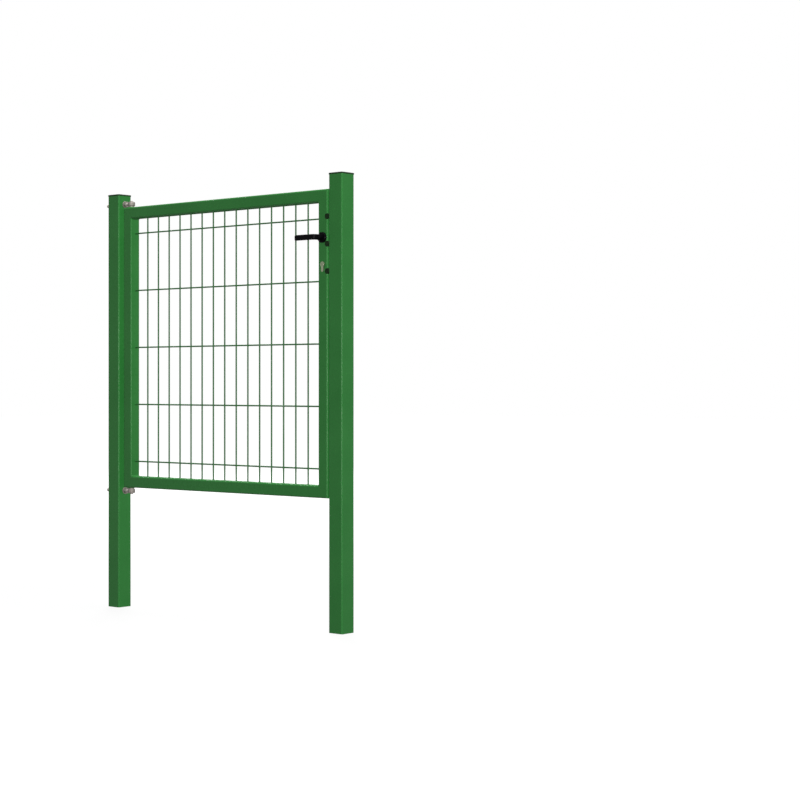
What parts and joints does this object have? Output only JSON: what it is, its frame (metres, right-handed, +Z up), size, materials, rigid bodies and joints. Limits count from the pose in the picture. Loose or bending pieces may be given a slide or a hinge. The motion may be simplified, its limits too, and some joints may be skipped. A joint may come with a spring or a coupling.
{
  "type": "mesh garden gate",
  "caption": "Single-leaf garden gate: welded wire mesh in a square-tube frame, hung on eyebolts between two square posts, with a lever handle and lock.",
  "frame": {"origin": "centre of the hinge post's foot face", "axes": "+Z up, +X along the gate from the hinge post to the latch post, -Y the front; the leaf opens towards +Y"},
  "size_m": [1.158, 0.13, 1.4565],
  "materials": {
    "green_coat": "satin powder coat",
    "mesh_coat": "satin plastic-coated wire",
    "zinc": "zinc plated",
    "lock_steel": "brushed",
    "nickel": "satin nickel",
    "black_plastic": "matte",
    "lever_black": "semi-gloss",
    "stop_rubber": "matte"
  },
  "bodies": {
    "root": {"hinge_post": "green_coat", "hinge_post_foot_plate": "green_coat", "hinge_post_cap": "black_plastic", "latch_post": "green_coat", "latch_post_foot_plate": "green_coat", "latch_post_cap": "black_plastic", "strike_plate": "lock_steel", "stop_lug_upper": "stop_rubber", "stop_lug_middle": "stop_rubber", "stop_lug_lower": "stop_rubber", "upper_eyebolt": "zinc", "upper_inner_nut": "zinc", "upper_inner_washer": "zinc", "upper_outer_nut": "zinc", "upper_outer_washer": "zinc", "lower_eyebolt": "zinc", "lower_inner_nut": "zinc", "lower_inner_washer": "zinc", "lower_outer_nut": "zinc", "lower_outer_washer": "zinc"},
    "leaf": {"hinge_stile": "green_coat", "latch_stile": "green_coat", "top_rail": "green_coat", "bottom_rail": "green_coat", "mesh_panel": "mesh_coat", "upper_hinge_pin": "zinc", "lower_hinge_pin": "zinc", "lock_case": "lock_steel", "lock_forend": "lock_steel", "latch_bolt": "nickel", "dead_bolt": "nickel", "lock_cylinder": "nickel", "front_rose": "lever_black", "back_rose": "lever_black"},
    "handle": {"front_lever": "lever_black", "back_lever": "lever_black", "spindle": "zinc"}
  },
  "joints": [
    {"name": "leaf_swing", "type": "hinge", "parent": "root", "child": "leaf", "pos_m": [0.064, 0, 0.916], "axis": [0, 0, 1], "range_deg": [0, 95]},
    {"name": "lever_turn", "type": "hinge", "parent": "leaf", "child": "handle", "pos_m": [1.002, 0, 1.254], "axis": [0, -1, 0], "range_deg": [0, 35], "stiffness_Nm_per_rad": 0.6, "springref_deg": -28.65}
  ]
}
